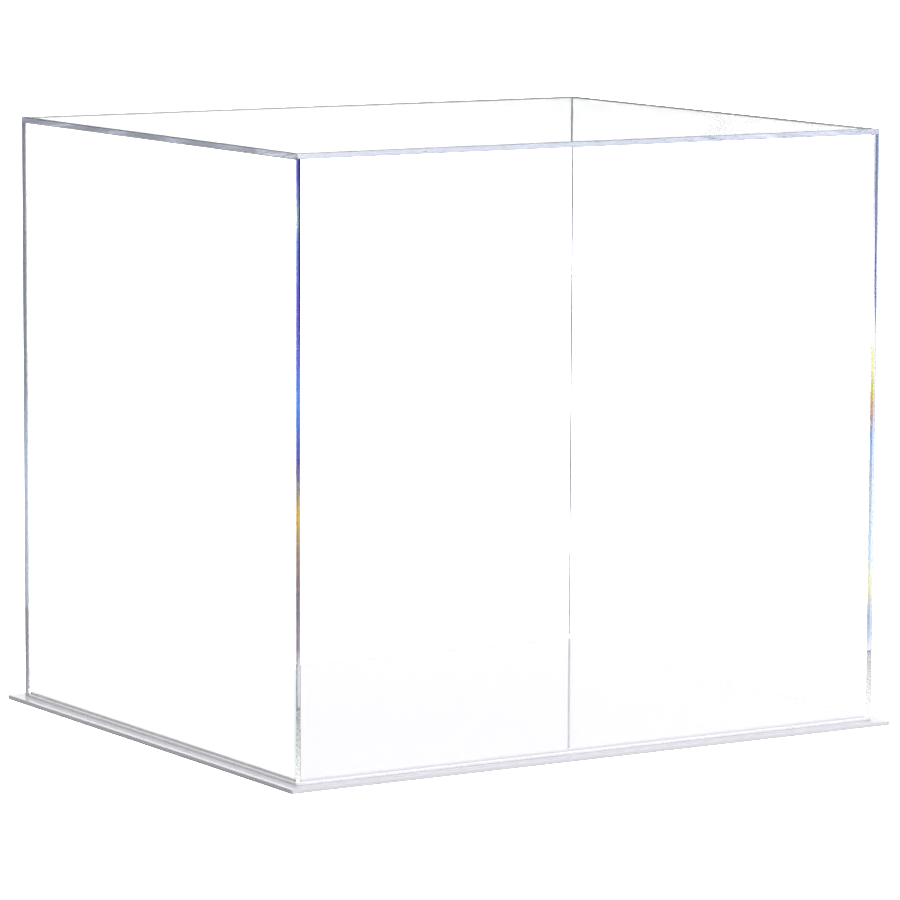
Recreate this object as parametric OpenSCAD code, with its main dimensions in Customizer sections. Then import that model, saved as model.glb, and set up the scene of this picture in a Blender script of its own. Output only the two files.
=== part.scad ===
// Lift-off display box for a pair of boots: a clear five-panel cover that stands on a white
// base plate and is kept in place by a slightly smaller riser plate inside it.
// Frame: millimetres, +Z up, +X along the long side, -Y is the front.
// The origin is the centre of the base plate's underside.

/* [Clear cover] */
// Outside width of the cover, along X
cover_w = 400; // [200:1:600]
// Outside depth of the cover, along Y
cover_d = 332; // [150:1:500]
// Height of the cover, from its rim to the top of its lid panel
cover_h = 356; // [100:1:500]
// Thickness of the clear sheet
panel_t = 3.2; // [2:0.1:6]

/* [White base] */
// How far the base plate stands out past the cover on each side
flange = 8; // [4:0.5:30]
// Thickness of the base plate
base_t = 2.8; // [2:0.1:8]
// Radius of the base plate's four upright corners
base_corner_r = 1; // [0.5:0.1:4]
// Thickness of the riser plate
riser_t = 3; // [2:0.1:8]
// Gap between the riser's edge and the cover's inner faces
riser_gap = 0.5; // [0.3:0.1:2]
// Radius of the riser's four upright corners
riser_corner_r = 0.8; // [0.5:0.1:4]

/* [Hidden] */

// The base plate carries the cover's rim and the riser, so both start at its top face
base_w = cover_w + 2 * flange;
base_d = cover_d + 2 * flange;
rim_z = base_t;

// The riser fills the cover's opening, less the gap all round
opening_w = cover_w - 2 * panel_t;
opening_d = cover_d - 2 * panel_t;
riser_w = opening_w - 2 * riser_gap;
riser_d = opening_d - 2 * riser_gap;

// The lid panel covers the ends of the four walls, and the side walls fit between front and back
wall_h = cover_h - panel_t;
side_wall_d = opening_d;

clear_tint = [0.82, 0.84, 0.95, 0.25];
white_tint = [0.94, 0.94, 0.96];

$fn = 48;

// A flat rectangular plate, centred on the Z axis with its underside at z = 0, whose four
// upright corners are rounded
module rounded_plate(w, d, t, r) {
    linear_extrude(height = t) {
        square([w - 2 * r, d], center = true);
        square([w, d - 2 * r], center = true);
        for (x = [-1, 1], y = [-1, 1]) {
            translate([x * (w / 2 - r), y * (d / 2 - r)])
                circle(r = r);
        }
    }
}

// A sheet of clear panel material, centred on the Z axis with its lower edge at z = 0
module sheet(size_x, size_y, size_z) {
    translate([-size_x / 2, -size_y / 2, 0])
        cube([size_x, size_y, size_z]);
}

// Front or back wall: the full width of the cover, so its ends show on the left and right
module long_wall(side) {
    translate([0, side * (cover_d - panel_t) / 2, rim_z])
        sheet(cover_w, panel_t, wall_h);
}

// Left or right wall: fits between the front and back walls
module short_wall(side) {
    translate([side * (cover_w - panel_t) / 2, 0, rim_z])
        sheet(panel_t, side_wall_d, wall_h);
}

// Large white plate that the whole box stands on
module base_plate() {
    color(white_tint)
        rounded_plate(base_w, base_d, base_t, base_corner_r);
}

// White plate bonded to the base plate, which the cover drops over and the boots stand on
module riser_plate() {
    color(white_tint)
        translate([0, 0, base_t])
            rounded_plate(riser_w, riser_d, riser_t, riser_corner_r);
}

module front_panel() {
    color(clear_tint)
        long_wall(-1);
}

module back_panel() {
    color(clear_tint)
        long_wall(1);
}

module left_panel() {
    color(clear_tint)
        short_wall(-1);
}

module right_panel() {
    color(clear_tint)
        short_wall(1);
}

// Lid panel: bonded on the ends of the four walls, with its own edge showing all round
module top_panel() {
    color(clear_tint)
        translate([0, 0, rim_z + wall_h])
            sheet(cover_w, cover_d, panel_t);
}

base_plate();
riser_plate();
front_panel();
back_panel();
left_panel();
right_panel();
top_panel();
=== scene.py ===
"""Looks of a clear lift-off display box on a white base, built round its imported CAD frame."""
import math

import bmesh
import bpy
from mathutils import Matrix, Vector


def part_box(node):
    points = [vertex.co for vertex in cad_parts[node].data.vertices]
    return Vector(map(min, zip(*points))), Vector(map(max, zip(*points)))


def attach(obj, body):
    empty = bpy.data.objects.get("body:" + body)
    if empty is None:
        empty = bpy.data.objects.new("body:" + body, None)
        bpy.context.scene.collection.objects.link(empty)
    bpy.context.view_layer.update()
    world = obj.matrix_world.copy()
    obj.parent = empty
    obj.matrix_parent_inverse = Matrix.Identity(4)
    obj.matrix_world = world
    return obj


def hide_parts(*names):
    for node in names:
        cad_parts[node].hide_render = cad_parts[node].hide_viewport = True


MM = 0.001
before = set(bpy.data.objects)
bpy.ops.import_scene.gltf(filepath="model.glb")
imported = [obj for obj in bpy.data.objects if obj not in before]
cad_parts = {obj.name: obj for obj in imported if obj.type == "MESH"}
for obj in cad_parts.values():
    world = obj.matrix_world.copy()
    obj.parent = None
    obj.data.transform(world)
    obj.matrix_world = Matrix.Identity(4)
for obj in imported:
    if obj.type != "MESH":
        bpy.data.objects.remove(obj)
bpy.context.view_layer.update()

# ---------------------------------------------------------------- driving values

EASE = 0.55 * MM                 # radius of the clear sheets' polished free edges
PLATE_EASE = 0.3 * MM            # radius of the white plates' edges
EDGE_STEPS = 4                   # facets across one eased edge
SHARPEST_SMOOTH = math.radians(40)   # edges that turn more than this stay sharp
FLAT_WEIGHT = 100                # how strongly shading follows the large flat faces, the most there is
CUT_TOLERANCE = 1e-7
NEAR = 1e-6                      # places closer than this count as the same
PLATE_CORNER = 1.0 * MM          # plan radius of the white plates' corners

ACRYLIC_IOR = 1.491
# Share of red, green and blue light lost in each metre of acrylic, as Beer's law exponents
ACRYLIC_LOSS = (1.25, 1.14, 0.93)
# Share of red, green and blue light kept each time it meets a face of a sheet from inside, and the same
# for the front sheet and the right sheet's broad faces
POLISH = (0.984, 0.986, 0.988)
FINE_POLISH = (0.995, 0.995, 0.996)
LEAST_FACING = 0.05              # keeps a grazing ray's path across the sheet finite
RIM_GAP = 0.05 * MM              # hairline of air between the cover's rim and the base plate
RIM_GLOW = 0.85                  # radiance of the painted glow on the front, left and right sheets' rims
STRIP = 1.4 * MM                 # how far the saw's matt marks run up the sheets from the rim
STRIP_GLOW = 0.05                # radiance of that strip's painted glow from outside

# Depths into a side sheet from its left face, as shares of its thickness, between which the strong colours
# of painted light in the front seam, standing for the studio's light that the sheet guides to its end,
# begin and end, and the share of them that is left beyond. The right sheet's begin at that face
LEFT_CORE_START = (0.44, 0.58)
LEFT_CORE_END = (0.88, 1.0)
LEFT_CORE_TAIL = 0.6
RIGHT_CORE_END = (0.55, 0.8)
RIGHT_CORE_TAIL = 0.35
SEAM_COLOUR = (0.96, 0.96, 0.98, 1.0)

# Hues along the edges, as (place on the scale from 0 to 1, colour), all painted light. Those of the free
# edges stand for the light that the edges split. Those of the two front seams run from foot to lid, and
# stand for the studio's light, which the side sheets guide to their front ends and split
SIDE_HUES = [(0.34, (0.88, 0.90, 0.96, 1.0)), (0.46, (0.94, 0.95, 0.97, 1.0)),
             (0.56, (0.88, 0.96, 0.95, 1.0)), (0.68, (0.97, 0.94, 0.97, 1.0))]
FRONT_HUES = [(0.4, (0.88, 0.92, 0.94, 1.0)), (0.6, (0.95, 0.95, 0.95, 1.0))]
LID_HUES = [(0.4, (0.90, 0.905, 0.93, 1.0)), (0.6, (0.95, 0.94, 0.955, 1.0))]
RIGHT_SEAM_HUES = [(0.13, (1.0, 1.0, 0.96, 1.0)), (0.185, (0.28, 0.42, 0.60, 1.0)),
                   (0.23, (0.80, 0.72, 0.30, 1.0)), (0.28, (0.50, 0.60, 0.62, 1.0)),
                   (0.42, (0.36, 0.43, 0.53, 1.0)), (0.49, (0.22, 0.36, 0.50, 1.0)),
                   (0.53, (0.45, 0.28, 0.18, 1.0)), (0.56, (0.62, 0.46, 0.04, 1.0)),
                   (0.64, (0.92, 0.88, 0.40, 1.0)), (0.68, (1.0, 1.0, 1.0, 1.0))]
LEFT_SEAM_HUES = [(0.19, (1.0, 0.96, 0.86, 1.0)), (0.23, (0.45, 0.32, 0.34, 1.0)),
                  (0.30, (0.18, 0.10, 0.13, 1.0)), (0.38, (0.36, 0.20, 0.10, 1.0)),
                  (0.435, (0.85, 0.52, 0.02, 1.0)), (0.50, (0.30, 0.26, 0.30, 1.0)),
                  (0.53, (0.12, 0.07, 0.36, 1.0)), (0.61, (0.16, 0.38, 0.96, 1.0)),
                  (0.69, (0.22, 0.22, 0.80, 1.0)), (0.76, (0.20, 0.12, 0.62, 1.0)),
                  (0.87, (0.28, 0.36, 0.90, 1.0)), (0.91, (0.85, 0.95, 0.98, 1.0)),
                  (0.955, (0.24, 0.20, 0.75, 1.0))]

BEAD = 0.8 * MM                  # how far the cement in an inner corner spreads over each sheet
FINE_BEAD = 0.3 * MM             # the same on the front sheet, whose seams are cleaner
BEAD_STEPS = 4                   # facets across its hollow side
BEAD_GAP = 0.02 * MM             # keeps it clear of the sheets' faces
BEAD_FOOT = 1.5 * MM             # height above the riser where the upright beads begin

STUDIO_RADIUS = 9.0
STUDIO_SEGMENTS = 96
WALL_HEIGHT = 3.0
BACKGROUND = 7.0                 # radiance of the stage where a camera that looks down sees it straight
LEVEL_BACKGROUND = 1.0           # the same for a nearly level camera
LOOKS_DOWN = (0.07, 0.11)        # steepness of the camera between which the one turns into the other
MIRRORED_NEAR = 2.6              # radiance of the floor behind the object, as mirrors show it
MIRRORED_FAR = 1.6               # and of its part further back
FURTHER_BACK = (2.8, 4.0)        # distances between which the one turns into the other
SURROUND_LEFT = 1.8              # radiance of the stage left and right of that part and in front of it
SURROUND_RIGHT = 0.5
SURROUND_ACROSS = 1.0            # distance to each side within which the one turns into the other
LIT_WIDTH = 0.6                  # half width of the lit part at the middle
LIT_SPREAD = 0.25                # how much that grows with each metre further back
LIT_FADE = 0.8                   # width over which it fades into the surroundings
LIT_FRONT = (-1.5, -0.7)         # depths, from the camera's side, between which it begins
SHADE = (0.25, 0.8)              # distances from the middle between which the shade round the object ends
SHADE_SHARE = 0.7                # share of the floor's light left in that shade, as mirrors show it
# Heights on the wall, where 0 is the one that the camera sees in the lid and 1 the one it sees in the base
WALL_LOW = (-0.91, -0.23)        # between these the wall falls from over-bright to dark
WALL_HIGH = (0.23, 0.61)         # between these it comes up to white again
WALL_END = (2.0, 2.9)            # between these it falls off to dark
WALL_DARK_LEFT = 0.6             # radiance of its dark band on the left and on the right
WALL_DARK_RIGHT = 0.3
WALL_DARK_ACROSS = (-0.5, 0.3)   # places across between which the one turns into the other
WALL_WHITE = 1.3                 # radiance of its white part
WALL_TOP = 0.4                   # radiance above its white part
MATT_BOUNCE = 0.05               # radiance of floor and wall for the object's matt surfaces
OVERHEAD = 0.9                   # radiance of the soft light above
OVERHEAD_RISE = (0.45, 0.75)     # steepness between which that light comes up
SKY_LEFT = 0.12                  # radiance of the sky above the wall on the left and on the right
SKY_RIGHT = 0.5
SKY_ACROSS = 0.6                 # how far to each side of the view the one turns into the other
SKY_WHITE = (0.05, 0.07)         # half width of the white band that a high camera sees in the base

KEY_POWER = 50.0                 # watts of the soft box beside the camera
KEY_SIZE = 1.2                   # length of its sides
KEY_PLACE = Vector((1.6, 0.8, -1.0))     # right of the camera, above it and in front of it

CAMERA_AZIMUTH = -31.9
CAMERA_ELEVATION = 7.6
CAMERA_ROLL = 0.24
CAMERA_DISTANCE = 3.2
CAMERA_LENS = 212.0
CAMERA_SENSOR = 36.0
# How far the camera's aim is off the cover's centre, to the right and up
CAMERA_AIM_RIGHT = 0.0032
CAMERA_AIM_UP = -0.0198

LIGHT_BOUNCES = 160              # light trapped in a sheet meets its faces many times on its way
CLEAR_BOUNCES = 64               # clear surfaces that light may go straight through

# ---------------------------------------------------------------- places from the frame

LID_LO, LID_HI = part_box("top_panel")
SHEET = LID_HI.z - LID_LO.z              # thickness of the clear sheet
INNER_X = LID_HI.x - SHEET               # inner faces of the cover's walls
INNER_Y = LID_HI.y - SHEET
RIM_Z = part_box("front_panel")[0].z       # where the walls stand on the base plate
RISER_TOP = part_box("riser_plate")[1].z


# ---------------------------------------------------------------- node helpers

def new_tree(datablock):
    """An empty node tree on a material or a world."""
    datablock.use_nodes = True
    datablock.node_tree.nodes.clear()
    return datablock.node_tree


def put(tree, kind, inputs=None, **settings):
    """Adds a node. inputs maps a socket's name or number to a value or to another node's output."""
    node = tree.nodes.new(kind)
    for key, value in settings.items():
        setattr(node, key, value)
    for key, value in (inputs or {}).items():
        socket = node.inputs[key]
        if isinstance(value, bpy.types.NodeSocket):
            tree.links.new(value, socket)
        else:
            socket.default_value = value
    return node


def maths(tree, operation, *values):
    """One Math node's result."""
    return put(tree, "ShaderNodeMath", dict(enumerate(values)), operation=operation).outputs[0]


def ramp(tree, value, low, high, out_low=0.0, out_high=1.0):
    """A smooth step: out_low where value is at or under low, out_high where it is at or over high."""
    node = put(tree, "ShaderNodeMapRange", {
        "Value": value, "From Min": low, "From Max": high, "To Min": out_low, "To Max": out_high,
    }, interpolation_type="SMOOTHSTEP")
    return node.outputs["Result"]


def split(tree, vector):
    """The x, y and z outputs of a vector."""
    return put(tree, "ShaderNodeSeparateXYZ", {0: vector}).outputs


def grey(value):
    return (value, value, value, 1.0)


def mix(tree, share, a, b):
    """A number between a and b."""
    return put(tree, "ShaderNodeMix", {0: share, 2: a, 3: b}).outputs[0]


def mix_colours(tree, share, a, b, blend="MIX"):
    """A colour between a and b."""
    node = put(tree, "ShaderNodeMix", {0: share, 6: a, 7: b}, data_type="RGBA", blend_type=blend)
    return node.outputs[2]


def mix_shaders(tree, share, a, b):
    return put(tree, "ShaderNodeMixShader", {0: share, 1: a, 2: b}).outputs[0]


def noise(tree, place, scale, detail):
    node = put(tree, "ShaderNodeTexNoise", {"Vector": place, "Scale": scale, "Detail": detail})
    return node.outputs[0]


def bump(tree, height, strength, distance):
    """A normal that follows a height, whose full range is distance."""
    node = put(tree, "ShaderNodeBump", {"Strength": strength, "Distance": distance, "Height": height})
    return node.outputs[0]


def new_material(name):
    """A material's node tree, and the place on the object that its patterns follow."""
    material = bpy.data.materials.new(name)
    tree = new_tree(material)
    return material, tree, put(tree, "ShaderNodeTexCoord").outputs["Object"]


# ---------------------------------------------------------------- materials

def surface_output(tree, shader):
    put(tree, "ShaderNodeOutputMaterial", {"Surface": shader})


def clear_glass(tree, tint, normal):
    return put(tree, "ShaderNodeBsdfGlass", {
        "Color": tint, "Roughness": 0.0, "IOR": ACRYLIC_IOR, "Normal": normal}).outputs[0]


def with_clear_shadow(tree, glass, pass_tint):
    """Light for the matt surfaces behind a sheet goes straight through it."""
    path = put(tree, "ShaderNodeLightPath").outputs
    lighting = maths(tree, "MAXIMUM", path["Is Shadow Ray"], path["Is Diffuse Ray"])
    through = put(tree, "ShaderNodeBsdfTransparent", {"Color": pass_tint}).outputs[0]
    return mix_shaders(tree, lighting, glass, through)


def sheet_tint(tree, polish):
    """The colour that light takes on while it crosses the sheet to the face it meets, by Beer's law.
    Light trapped in a sheet crosses it many times, so it reaches the far edge lavender."""
    geometry = put(tree, "ShaderNodeNewGeometry").outputs
    facing = maths(tree, "ABSOLUTE", put(tree, "ShaderNodeVectorMath", {
        0: geometry["Normal"], 1: geometry["Incoming"]}, operation="DOT_PRODUCT").outputs["Value"])
    crossed = maths(tree, "DIVIDE", SHEET, maths(tree, "MAXIMUM", facing, LEAST_FACING))
    crossed = maths(tree, "MULTIPLY", crossed, geometry["Backfacing"])
    parts = []
    for loss, kept in zip(ACRYLIC_LOSS, polish):
        in_sheet = maths(tree, "EXPONENT", maths(tree, "MULTIPLY", crossed, -loss))
        at_face = maths(tree, "POWER", kept, geometry["Backfacing"])
        parts.append(maths(tree, "MULTIPLY", in_sheet, at_face))
    return put(tree, "ShaderNodeCombineColor", dict(enumerate(parts))).outputs[0]


def clear_face_material(name, polish):
    """The sheets' broad faces: cast acrylic, with the faint waviness of its surface."""
    material, tree, place = new_material(name)
    waves = bump(tree, noise(tree, place, 14.0, 1.0), 0.02, 0.2 * MM)
    glass = clear_glass(tree, sheet_tint(tree, polish), waves)
    surface_output(tree, with_clear_shadow(tree, glass, (0.97, 0.97, 0.98, 1.0)))
    return material


def height_drift(tree, place):
    """0 at the base's underside to 1 at the lid's, a little unevenly."""
    share = maths(tree, "DIVIDE", split(tree, place)[2], LID_LO.z)
    uneven = maths(tree, "SUBTRACT", noise(tree, place, 40.0, 1.0), 0.5)
    return maths(tree, "ADD", share, maths(tree, "MULTIPLY", uneven, 0.06))


def hue_scale(tree, drift, hues):
    """The colour at a drift from 0 to 1, out of (place, colour) pairs."""
    scale = put(tree, "ShaderNodeValToRGB", {0: drift})
    stops = scale.color_ramp.elements
    while len(stops) < len(hues):
        stops.new(0.5)
    for stop, (position, hue) in zip(stops, hues):
        stop.position = position
        stop.color = hue
    return scale.outputs[0]


def clear_edge_material(name, polish, hues):
    """The sheets' cut edges: polished, with the cutter's faint regular marks left in them. They split
    light a little; the hue that drifts along them through the given hues is painted light standing for that."""
    material, tree, place = new_material(name)
    marks = bump(tree, noise(tree, place, 480.0, 1.0), 0.15, 0.2 * MM)
    # painted light: a hue standing for the light that the edge splits
    hue = hue_scale(tree, noise(tree, place, 7.0, 0.0), hues)
    glass = clear_glass(tree, mix_colours(tree, 1.0, sheet_tint(tree, polish), hue, "MULTIPLY"), marks)
    surface_output(tree, with_clear_shadow(tree, glass, (0.35, 0.36, 0.40, 1.0)))
    return material


def rim_material(name, glow_inside, glow_outside):
    """The cover's sawn rim and the marked strip above it, both left matt. The glow is painted light, an
    emission that stands for the light that runs down inside a sheet and comes out where it is rough: as
    seen from inside the sheet, and from outside it."""
    material, tree, place = new_material(name)
    strokes = noise(tree, place, 900.0, 2.0)
    marks = bump(tree, strokes, 0.5, 0.1 * MM)
    matt = put(tree, "ShaderNodeBsdfDiffuse", {"Color": (0.74, 0.74, 0.79, 1.0), "Normal": marks}).outputs[0]
    share = ramp(tree, strokes, 0.3, 0.7, 0.6, 0.95)
    surface = mix_shaders(tree, share, clear_glass(tree, grey(1.0), marks), matt)
    inside = put(tree, "ShaderNodeNewGeometry").outputs["Backfacing"]
    glow = mix(tree, inside, glow_outside, glow_inside)
    # painted glow: emission on a part that is no lamp
    lit = put(tree, "ShaderNodeEmission", {
        "Color": (1.0, 0.99, 0.91, 1.0), "Strength": maths(tree, "MULTIPLY", share, glow)}).outputs[0]
    surface = put(tree, "ShaderNodeAddShader", {0: surface, 1: lit}).outputs[0]
    surface_output(tree, with_clear_shadow(tree, surface, (0.5, 0.5, 0.5, 1.0)))
    return material


def cement_material():
    """The fine bead of set solvent cement in the cover's inner corners. Its near-black colour is painted
    shade, standing for the dark that the clear bead shows by bending light, so it reads as a thin grey line.
    """
    material, tree, place = new_material("acrylic_cement_painted_shade")
    lumps = noise(tree, place, 260.0, 2.0)
    # near-black base colour: painted shade, not the colour of the clear cement itself
    bead = put(tree, "ShaderNodeBsdfPrincipled", {
        "Base Color": mix_colours(tree, lumps, (0.04, 0.04, 0.05, 1.0), (0.14, 0.14, 0.16, 1.0)),
        "Roughness": 0.15, "IOR": 1.46, "Normal": bump(tree, lumps, 0.4, 0.2 * MM)}).outputs[0]
    surface_output(tree, with_clear_shadow(tree, bead, (0.7, 0.7, 0.72, 1.0)))
    return material


def plain_seam(tree, place):
    """The colour of a seam that guides no light: nearly none, all over."""
    return SEAM_COLOUR


def front_seam_painted_light(tree, place):
    """Painted light: colours that stand for the studio's light, which the side sheets guide to their ends
    and show through the front sheet, strongest in their core.
    """
    x = split(tree, place)[0]
    height = height_drift(tree, place)
    depth = maths(tree, "DIVIDE", maths(tree, "ADD", x, LID_HI.x), SHEET)
    core = maths(tree, "MULTIPLY", ramp(tree, depth, *LEFT_CORE_START),
                 ramp(tree, depth, *LEFT_CORE_END, 1.0, LEFT_CORE_TAIL))
    left = mix_colours(tree, core, SEAM_COLOUR, hue_scale(tree, height, LEFT_SEAM_HUES))
    depth = maths(tree, "DIVIDE", maths(tree, "SUBTRACT", x, INNER_X), SHEET)
    core = ramp(tree, depth, *RIGHT_CORE_END, 1.0, RIGHT_CORE_TAIL)
    right = mix_colours(tree, core, SEAM_COLOUR, hue_scale(tree, height, RIGHT_SEAM_HUES))
    return mix_colours(tree, maths(tree, "GREATER_THAN", x, 0.0), left, right)


def weld_material(name, seam_maker):
    """The solvent-welded faces: the sheets are one piece of acrylic there, apart from fine bubbles."""
    material, tree, place = new_material(name)
    cells = put(tree, "ShaderNodeTexVoronoi", {"Vector": place, "Scale": 900.0})
    bubble = ramp(tree, cells.outputs["Distance"], 0.18, 0.24, 1.0, 0.0)
    clusters = ramp(tree, noise(tree, place, 60.0, 2.0), 0.55, 0.7, 0.0, 0.7)
    # the seam's colour tints what shows through it; on the front seams it is painted light
    joined = put(tree, "ShaderNodeBsdfTransparent", {"Color": seam_maker(tree, place)}).outputs[0]
    speck = put(tree, "ShaderNodeBsdfTranslucent", {"Color": grey(0.9)}).outputs[0]
    surface_output(tree, mix_shaders(tree, maths(tree, "MULTIPLY", bubble, clusters), joined, speck))
    return material


def white_material():
    """Glossy white acrylic sheet."""
    material, tree, place = new_material("white_acrylic")
    cloud = noise(tree, place, 9.0, 3.0)
    surface_output(tree, put(tree, "ShaderNodeBsdfPrincipled", {
        "Base Color": mix_colours(tree, cloud, (0.85, 0.845, 0.905, 1.0), (0.875, 0.87, 0.925, 1.0)),
        "Roughness": ramp(tree, cloud, 0.3, 0.7, 0.02, 0.05), "IOR": 1.49,
        "Normal": bump(tree, noise(tree, place, 30.0, 1.0), 0.03, 0.2 * MM),
        "Subsurface Weight": 0.6, "Subsurface Radius": (1.0, 1.0, 1.1),
        "Subsurface Scale": 1.5 * MM}).outputs[0])
    return material


# ---------------------------------------------------------------- meshes

def near(a, b):
    return abs(a - b) < NEAR


def box_mesh(lo, hi):
    """A closed box between two corners, as a bmesh."""
    bm = bmesh.new()
    bmesh.ops.create_cube(bm, size=1.0)
    middle, size = (lo + hi) / 2, hi - lo
    bmesh.ops.transform(bm, matrix=Matrix.Translation(middle) @ Matrix.Diagonal((*size, 1)), verts=bm.verts)
    return bm


def round_edges(bm, edges, radius):
    bmesh.ops.bevel(bm, geom=edges, offset=radius, segments=EDGE_STEPS, profile=0.5, affect="EDGES")


def cut(bm, axis, place):
    """Splits every face that crosses a plane square to one axis, leaving the mesh whole."""
    point, normal = Vector(), Vector()
    point[axis] = place
    normal[axis] = 1.0
    everything = bm.verts[:] + bm.edges[:] + bm.faces[:]
    bmesh.ops.bisect_plane(bm, geom=everything, plane_co=point, plane_no=normal, dist=CUT_TOLERANCE)


def link_object(name, data):
    thing = bpy.data.objects.new(name, data)
    bpy.context.scene.collection.objects.link(thing)
    return thing


def as_piece(bm, name, materials, body, nodes):
    """Turns a bmesh into a piece that stands for CAD nodes and rides on their body."""
    bmesh.ops.recalc_face_normals(bm, faces=bm.faces)
    mesh = bpy.data.meshes.new(name)
    bm.to_mesh(mesh)
    bm.free()
    for material in materials:
        mesh.materials.append(material)
    mesh.shade_smooth()
    mesh.set_sharp_from_angle(angle=SHARPEST_SMOOTH)
    piece = link_object(name, mesh)
    flat = piece.modifiers.new("flat faces stay flat", "WEIGHTED_NORMAL")
    flat.weight = FLAT_WEIGHT
    flat.keep_sharp = True
    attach(piece, body)
    if nodes:
        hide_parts(*nodes)
    return piece


# ---------------------------------------------------------------- clear cover

# A clear panel's material slots: broad faces, free edges, bonded faces, rim, strip above the rim
FACE, EDGE, WELD, RIM, MARKED = range(5)


def faces_along(face, axis):
    return abs(face.normal[axis]) > 0.9


def on_cover_outside(point):
    """How many of the cover's outer sides a point lies on, its lid side and rim included."""
    sides = [near(abs(point.x), LID_HI.x), near(abs(point.y), LID_HI.y),
             near(point.z, LID_HI.z), near(point.z, RIM_Z)]
    return sum(sides)


def is_free_edge(edge):
    """True for an edge that belongs to the cover's outside corners or to its outer rim."""
    a, b = (v.co for v in edge.verts)
    return on_cover_outside((a + b) / 2) >= 2


def is_weld(face, thin_axis):
    """True for a face, or a strip of one, that is bonded to a neighbouring sheet."""
    centre = face.calc_center_median()
    if near(centre.z, LID_LO.z):
        return abs(centre.x) > INNER_X or abs(centre.y) > INNER_Y
    if near(abs(centre.y), INNER_Y) and faces_along(face, 1) and centre.z < LID_LO.z:
        return abs(centre.x) > INNER_X or thin_axis == 0
    return False


def clear_panel(node, thin_axis, materials):
    """One sheet of the cover, thin along one axis. Its faces are split along its neighbours' faces, so
    that the bonded strips get their own material."""
    bm = box_mesh(*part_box(node))
    round_edges(bm, [e for e in bm.edges if is_free_edge(e)], EASE)
    for vert in bm.verts:
        if near(vert.co.z, RIM_Z):
            vert.co.z += RIM_GAP
    for axis, inner in ((0, INNER_X), (1, INNER_Y)):
        for side in (-1, 1):
            cut(bm, axis, side * inner)
    cut(bm, 2, RIM_Z + STRIP)
    bm.normal_update()
    for face in bm.faces:
        height = face.calc_center_median().z
        if near(height, RIM_Z + RIM_GAP):
            face.material_index = RIM
        elif is_weld(face, thin_axis):
            face.material_index = WELD
        elif height < RIM_Z + STRIP:
            face.material_index = MARKED
        else:
            face.material_index = FACE if faces_along(face, thin_axis) else EDGE
    return as_piece(bm, node + "_clear", materials, "cover", [node])


def corner_bead(bm, corner, along, legs, reach, size):
    """A concave bead in one inner corner. corner is a point on its seam, along its direction as an axis
    number, legs the two directions in which it spreads over the sheets by its size, reach its two ends."""
    clear = (legs[0] + legs[1]) * BEAD_GAP
    section = [Vector(), legs[0] * size]
    for i in range(1, BEAD_STEPS):
        angle = i / BEAD_STEPS * math.pi / 2
        section.append((legs[0] * (1 - math.sin(angle)) + legs[1] * (1 - math.cos(angle))) * size)
    section.append(legs[1] * size)
    rings = []
    for end in reach:
        ring = []
        for offset in section:
            point = corner + offset + clear
            point[along] = end
            ring.append(bm.verts.new(point))
        rings.append(ring)
        bm.faces.new(ring)
    count = len(section)
    for i in range(count):
        j = (i + 1) % count
        bm.faces.new((rings[0][i], rings[0][j], rings[1][j], rings[1][i]))


def cement_beads(material):
    """The beads in the cover's four upright and four upper inner corners, as one piece."""
    bm = bmesh.new()
    inner = Vector((INNER_X, INNER_Y, LID_LO.z))
    foot = RISER_TOP + BEAD_FOOT
    axis = [Vector((1, 0, 0)), Vector((0, 1, 0)), Vector((0, 0, 1))]
    for side, size in ((-1, FINE_BEAD), (1, BEAD)):
        corner = Vector((0, side * inner.y, inner.z))
        corner_bead(bm, corner, 0, (axis[1] * -side, -axis[2]), (-inner.x, inner.x), size)
        for x in (-1, 1):
            corner = Vector((x * inner.x, side * inner.y, 0))
            corner_bead(bm, corner, 2, (axis[0] * -x, axis[1] * -side), (foot, inner.z), size)
    for side in (-1, 1):
        corner = Vector((side * inner.x, 0, inner.z))
        corner_bead(bm, corner, 1, (axis[0] * -side, -axis[2]), (-inner.y, inner.y), BEAD)
    return as_piece(bm, "corner_cement", [material], "cover", [])


face_look = clear_face_material("clear_acrylic", POLISH)
fine_look = clear_face_material("clear_acrylic_fine", FINE_POLISH)
side_edge = clear_edge_material("clear_acrylic_side_edge", POLISH, SIDE_HUES)
front_edge = clear_edge_material("clear_acrylic_front_edge", FINE_POLISH, FRONT_HUES)
lid_edge = clear_edge_material("clear_acrylic_lid_edge", POLISH, LID_HUES)
weld_look = weld_material("acrylic_weld", plain_seam)
front_weld_look = weld_material("acrylic_weld_front_painted_light", front_seam_painted_light)
# rim_look has no glow. The other three carry painted glow, emission that stands for light running down the
# sheets, and the bright foot of the front, left and right sheets has it at full strength
rim_look = rim_material("clear_acrylic_rim", 0.0, 0.0)
bright_rim_look = rim_material("clear_acrylic_rim_bright", RIM_GLOW, RIM_GLOW)
strip_look = rim_material("clear_acrylic_strip", STRIP_GLOW, STRIP_GLOW)
bright_strip_look = rim_material("clear_acrylic_strip_bright", RIM_GLOW, STRIP_GLOW)
plain_foot = [rim_look, strip_look]
bright_foot = [bright_rim_look, bright_strip_look]
clear_panel("front_panel", 1, [fine_look, front_edge, front_weld_look] + bright_foot)
clear_panel("back_panel", 1, [face_look, side_edge, weld_look] + plain_foot)
clear_panel("left_panel", 0, [face_look, side_edge, weld_look] + bright_foot)
clear_panel("right_panel", 0, [fine_look, side_edge, weld_look] + bright_foot)
clear_panel("top_panel", 2, [face_look, lid_edge, weld_look] + plain_foot)
cement_beads(cement_material())


# ---------------------------------------------------------------- white base

def is_level(edge):
    return near(edge.verts[0].co.z, edge.verts[1].co.z)


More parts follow.
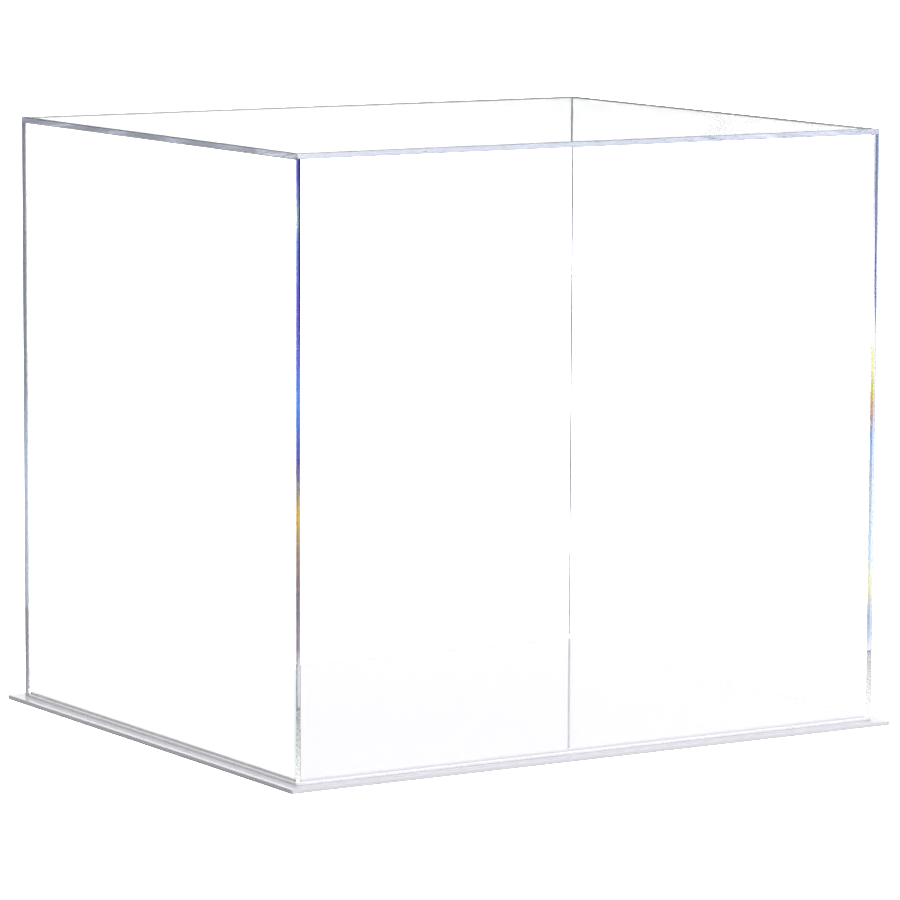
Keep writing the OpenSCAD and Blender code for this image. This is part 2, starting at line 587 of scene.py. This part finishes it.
def white_plate(node, material):
    """A plate of the base, with rounded upright corners and then eased edges all round."""
    bm = box_mesh(*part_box(node))
    round_edges(bm, [e for e in bm.edges if not is_level(e)], PLATE_CORNER)
    round_edges(bm, [e for e in bm.edges if is_level(e)], PLATE_EASE)
    return as_piece(bm, node + "_gloss", [material], "base", [node])


white = white_material()
for name in ("base_plate", "riser_plate"):
    white_plate(name, white)


# ---------------------------------------------------------------- studio

CAMERA_FORWARD, CAMERA_RIGHT = (0.0, 0.0, 1.0), (1.0, 0.0, 0.0)   # in the camera's axes, as nodes use them


def from_camera(tree, vector, kind):
    """A vector or point given in the camera's axes, in the scene's."""
    return put(tree, "ShaderNodeVectorTransform", {0: vector},
               vector_type=kind, convert_from="CAMERA", convert_to="WORLD").outputs[0]


def levelled(tree, vector):
    """The vector without its height."""
    node = put(tree, "ShaderNodeVectorMath", {0: vector, 1: (1.0, 1.0, 0.0)}, operation="MULTIPLY")
    return node.outputs[0]


def length(tree, vector):
    return put(tree, "ShaderNodeVectorMath", {0: vector}, operation="LENGTH").outputs["Value"]


def direction(tree, vector):
    return put(tree, "ShaderNodeVectorMath", {0: vector}, operation="NORMALIZE").outputs[0]


def dot(tree, a, b):
    return put(tree, "ShaderNodeVectorMath", {0: a, 1: b}, operation="DOT_PRODUCT").outputs["Value"]


def along_view(tree, place, view_axis):
    """How far a place lies from the middle along one of the camera's axes, measured level."""
    turned = from_camera(tree, view_axis, "VECTOR")
    return dot(tree, place, direction(tree, levelled(tree, turned)))


def camera_place(tree):
    """The camera's height and its level distance from the middle of the scene."""
    place = from_camera(tree, (0.0, 0.0, 0.0), "POINT")
    return split(tree, place)[2], length(tree, levelled(tree, place))


def seen_in_mirror(tree):
    """1 for a ray that was reflected on its way, 0 for one that was not."""
    return maths(tree, "GREATER_THAN", put(tree, "ShaderNodeLightPath").outputs["Glossy Depth"], 0.5)


def mirrored_stage(tree, place, behind):
    """What mirrors show of the stage: behind on the part that lies behind the object, as the camera sees
    it, and the surroundings beside and in front of that. The lit part turns with the camera."""
    depth = along_view(tree, place, CAMERA_FORWARD)
    across = along_view(tree, place, CAMERA_RIGHT)
    surround = ramp(tree, across, -SURROUND_ACROSS, SURROUND_ACROSS, SURROUND_LEFT, SURROUND_RIGHT)
    spread = maths(tree, "MULTIPLY", maths(tree, "MAXIMUM", depth, 0.0), LIT_SPREAD)
    beyond = maths(tree, "SUBTRACT", maths(tree, "ABSOLUTE", across), maths(tree, "ADD", LIT_WIDTH, spread))
    lit_across = ramp(tree, beyond, 0.0, LIT_FADE, 1.0, 0.0)
    lit_along = ramp(tree, depth, *LIT_FRONT)
    return mix(tree, maths(tree, "MULTIPLY", lit_across, lit_along), surround, behind)


def stage_material(name, light):
    """A plain pale surface that glows. The view reaches it as an even white, over-bright for a camera that
    looks down and less so for a level one. Mirrors show light's result, and the object's matt surfaces get
    little from it, so that their shaded sides stay dark."""
    material = bpy.data.materials.new(name)
    material.cycles.emission_sampling = "NONE"
    tree = new_tree(material)
    mirrored = light(tree, put(tree, "ShaderNodeNewGeometry").outputs["Position"])
    upward = split(tree, from_camera(tree, CAMERA_FORWARD, "VECTOR"))[2]
    straight = ramp(tree, maths(tree, "MULTIPLY", upward, -1.0), *LOOKS_DOWN, LEVEL_BACKGROUND, BACKGROUND)
    radiance = mix(tree, seen_in_mirror(tree), straight, mirrored)
    matt_sees_it = put(tree, "ShaderNodeLightPath").outputs["Is Diffuse Ray"]
    surface_output(tree, put(tree, "ShaderNodeEmission", {
        "Color": grey(1.0), "Strength": mix(tree, matt_sees_it, radiance, MATT_BOUNCE)}).outputs[0])
    return material


def floor_light(tree, place):
    """Bright behind the object, less so further back, and dimmed a little in the shade round it."""
    far = length(tree, place)
    shade = ramp(tree, far, *SHADE, SHADE_SHARE, 1.0)
    behind = ramp(tree, far, *FURTHER_BACK, MIRRORED_NEAR, MIRRORED_FAR)
    return maths(tree, "MULTIPLY", mirrored_stage(tree, place, behind), shade)


def wall_light(tree, place):
    """Over-bright low down, then dark where the lid mirrors it, which draws the lid's far edges, then
    white, all round, where the base mirrors it, and dim above that."""
    camera_height, away = camera_place(tree)
    reach = maths(tree, "DIVIDE", STUDIO_RADIUS, away)
    over_lid = maths(tree, "SUBTRACT", camera_height, LID_HI.z)
    height = maths(tree, "SUBTRACT", split(tree, place)[2], LID_HI.z)
    height = maths(tree, "SUBTRACT", height, maths(tree, "MULTIPLY", over_lid, reach))
    spread = maths(tree, "MULTIPLY", maths(tree, "SUBTRACT", reach, 1.0), LID_HI.z)
    height = maths(tree, "DIVIDE", height, spread)
    across = along_view(tree, place, CAMERA_RIGHT)
    dark = ramp(tree, across, *WALL_DARK_ACROSS, WALL_DARK_LEFT, WALL_DARK_RIGHT)
    low = mirrored_stage(tree, place, ramp(tree, height, *WALL_LOW, MIRRORED_FAR, dark))
    column = ramp(tree, height, *WALL_HIGH, low, WALL_WHITE)
    return ramp(tree, height, *WALL_END, column, WALL_TOP)


def add_stage(name, mesh_maker, light):
    mesh = bpy.data.meshes.new(name)
    bm = bmesh.new()
    mesh_maker(bm)
    bm.to_mesh(mesh)
    bm.free()
    mesh.materials.append(stage_material(name, light))
    link_object(name, mesh)


def floor_disc(bm):
    bmesh.ops.create_circle(bm, cap_ends=True, segments=STUDIO_SEGMENTS, radius=STUDIO_RADIUS)


def round_wall(bm):
    bmesh.ops.create_cone(bm, cap_ends=False, segments=STUDIO_SEGMENTS,
                          radius1=STUDIO_RADIUS, radius2=STUDIO_RADIUS, depth=WALL_HEIGHT,
                          matrix=Matrix.Translation((0, 0, WALL_HEIGHT / 2)))


def add_world():
    """A soft light overhead and dim surroundings above the wall, with a white band in them where a high
    camera sees them in the base. That band shows in mirrors only."""
    world = bpy.data.worlds.new("studio")
    bpy.context.scene.world = world
    tree = new_tree(world)
    place = put(tree, "ShaderNodeTexCoord").outputs
    across = split(tree, direction(tree, place["Camera"]))[0]
    up = split(tree, place["Generated"])[2]
    overhead = ramp(tree, up, *OVERHEAD_RISE, 0.0, OVERHEAD)
    sides = ramp(tree, across, -SKY_ACROSS, SKY_ACROSS, SKY_LEFT, SKY_RIGHT)
    camera_height, away = camera_place(tree)
    base_slope = maths(tree, "DIVIDE", camera_height, away)
    slope = maths(tree, "DIVIDE", up, length(tree, levelled(tree, place["Generated"])))
    off = maths(tree, "ABSOLUTE", maths(tree, "SUBTRACT", slope, base_slope))
    white = maths(tree, "MULTIPLY", ramp(tree, off, *SKY_WHITE, WALL_WHITE, 0.0), seen_in_mirror(tree))
    strength = maths(tree, "MAXIMUM", maths(tree, "MAXIMUM", overhead, sides), white)
    shader = put(tree, "ShaderNodeBackground", {"Color": grey(1.0), "Strength": strength}).outputs[0]
    put(tree, "ShaderNodeOutputWorld", {"Surface": shader})


def add_camera():
    """The camera, aimed at the cover's centre but for the two small offsets."""
    azimuth, elevation = math.radians(CAMERA_AZIMUTH), math.radians(CAMERA_ELEVATION)
    back = Vector((math.sin(azimuth) * math.cos(elevation),
                   -math.cos(azimuth) * math.cos(elevation), math.sin(elevation)))
    right = Vector((math.cos(azimuth), math.sin(azimuth), 0))
    up = back.cross(right)
    centre = Vector((0, 0, (RIM_Z + LID_HI.z) / 2))
    data = bpy.data.cameras.new("camera")
    data.lens = CAMERA_LENS
    data.sensor_width = CAMERA_SENSOR
    camera = link_object("camera", data)
    turn = Matrix((right, up, back)).transposed() @ Matrix.Rotation(math.radians(CAMERA_ROLL), 3, "Z")
    place = centre + back * CAMERA_DISTANCE + right * CAMERA_AIM_RIGHT + up * CAMERA_AIM_UP
    camera.matrix_world = Matrix.Translation(place) @ turn.to_4x4()
    bpy.context.scene.camera = camera
    return camera


def add_key_light(camera):
    """A large soft box beside the camera, which moves with it."""
    data = bpy.data.lights.new("key", "AREA")
    data.shape = "SQUARE"
    data.size = KEY_SIZE
    data.energy = KEY_POWER
    light = link_object("key", data)
    light.parent = camera
    target = Vector((0, 0, -CAMERA_DISTANCE))
    light.location = KEY_PLACE
    light.rotation_mode = "QUATERNION"
    light.rotation_quaternion = (target - KEY_PLACE).to_track_quat("-Z", "Y")


add_stage("floor", floor_disc, floor_light)
add_stage("studio_wall", round_wall, wall_light)
add_world()
add_key_light(add_camera())

scene = bpy.context.scene
scene.view_settings.view_transform = "Standard"
scene.cycles.max_bounces = LIGHT_BOUNCES
scene.cycles.glossy_bounces = LIGHT_BOUNCES
scene.cycles.transmission_bounces = LIGHT_BOUNCES
scene.cycles.transparent_max_bounces = CLEAR_BOUNCES
